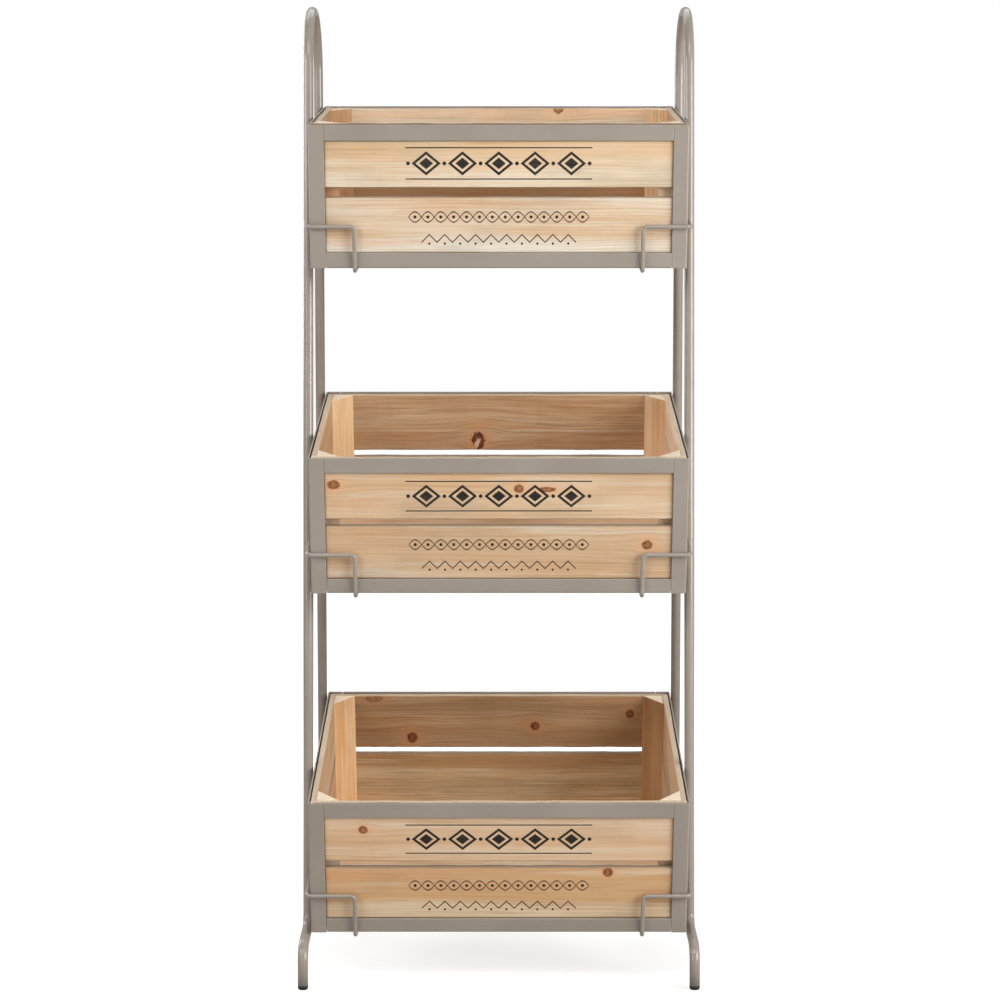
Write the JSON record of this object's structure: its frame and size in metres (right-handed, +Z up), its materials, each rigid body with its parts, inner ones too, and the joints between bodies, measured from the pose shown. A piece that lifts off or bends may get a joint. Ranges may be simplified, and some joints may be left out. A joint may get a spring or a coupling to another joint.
{
  "type": "crate storage unit",
  "caption": "Free-standing storage stand of bent steel tube with tilted timber crates in steel edging, which lift out of wire cradles.",
  "frame": {"origin": "on the floor, under the middle of the unit's box", "axes": "+X to the unit's right as seen from the front, +Y from front to back, +Z up"},
  "size_m": [0.467, 0.3642, 1.1644],
  "materials": {
    "stand_metal": "satin powder coat",
    "crate_metal": "satin powder coat",
    "timber": "sawn and sanded pine, unvarnished",
    "nail_steel": "bright",
    "cap_rubber": "matt"
  },
  "bodies": {
    "stand": {"left_side_frame": "stand_metal", "right_side_frame": "stand_metal", "front_left_foot_cap": "cap_rubber", "front_right_foot_cap": "cap_rubber", "rear_left_foot_cap": "cap_rubber", "rear_right_foot_cap": "cap_rubber", "top_left_cradle_wire": "stand_metal", "top_right_cradle_wire": "stand_metal", "mid_left_cradle_wire": "stand_metal", "mid_right_cradle_wire": "stand_metal", "bottom_left_cradle_wire": "stand_metal", "bottom_right_cradle_wire": "stand_metal", "top_rear_tie_rod": "stand_metal", "mid_rear_tie_rod": "stand_metal", "bottom_rear_tie_rod": "stand_metal", "bottom_front_tie_rod": "stand_metal"},
    "top_crate": {"top_crate_corner_angles": "crate_metal", "top_crate_front_top_rail": "crate_metal", "top_crate_front_bottom_rail": "crate_metal", "top_crate_back_rails": "crate_metal", "top_crate_side_rails": "crate_metal", "top_crate_front_upper_slat": "timber", "top_crate_front_lower_slat": "timber", "top_crate_back_upper_slat": "timber", "top_crate_back_lower_slat": "timber", "top_crate_left_slats": "timber", "top_crate_right_slats": "timber", "top_crate_corner_posts": "timber", "top_crate_floor_boards": "timber", "top_crate_nails": "nail_steel"},
    "mid_crate": {"mid_crate_corner_angles": "crate_metal", "mid_crate_front_top_rail": "crate_metal", "mid_crate_front_bottom_rail": "crate_metal", "mid_crate_back_rails": "crate_metal", "mid_crate_side_rails": "crate_metal", "mid_crate_front_upper_slat": "timber", "mid_crate_front_lower_slat": "timber", "mid_crate_back_upper_slat": "timber", "mid_crate_back_lower_slat": "timber", "mid_crate_left_slats": "timber", "mid_crate_right_slats": "timber", "mid_crate_corner_posts": "timber", "mid_crate_floor_boards": "timber", "mid_crate_nails": "nail_steel"},
    "bottom_crate": {"bottom_crate_corner_angles": "crate_metal", "bottom_crate_front_top_rail": "crate_metal", "bottom_crate_front_bottom_rail": "crate_metal", "bottom_crate_back_rails": "crate_metal", "bottom_crate_side_rails": "crate_metal", "bottom_crate_front_upper_slat": "timber", "bottom_crate_front_lower_slat": "timber", "bottom_crate_back_upper_slat": "timber", "bottom_crate_back_lower_slat": "timber", "bottom_crate_left_slats": "timber", "bottom_crate_right_slats": "timber", "bottom_crate_corner_posts": "timber", "bottom_crate_floor_boards": "timber", "bottom_crate_nails": "nail_steel"}
  },
  "joints": [
    {"name": "top_crate_lift", "type": "slide", "parent": "stand", "child": "top_crate", "axis": [0, -0.2079, 0.9781], "range_m": [0, 0.3]},
    {"name": "mid_crate_lift", "type": "slide", "parent": "stand", "child": "mid_crate", "axis": [0, -0.2672, 0.9636], "range_m": [0, 0.12]},
    {"name": "bottom_crate_lift", "type": "slide", "parent": "stand", "child": "bottom_crate", "axis": [0, -0.2672, 0.9636], "range_m": [0, 0.12]}
  ]
}
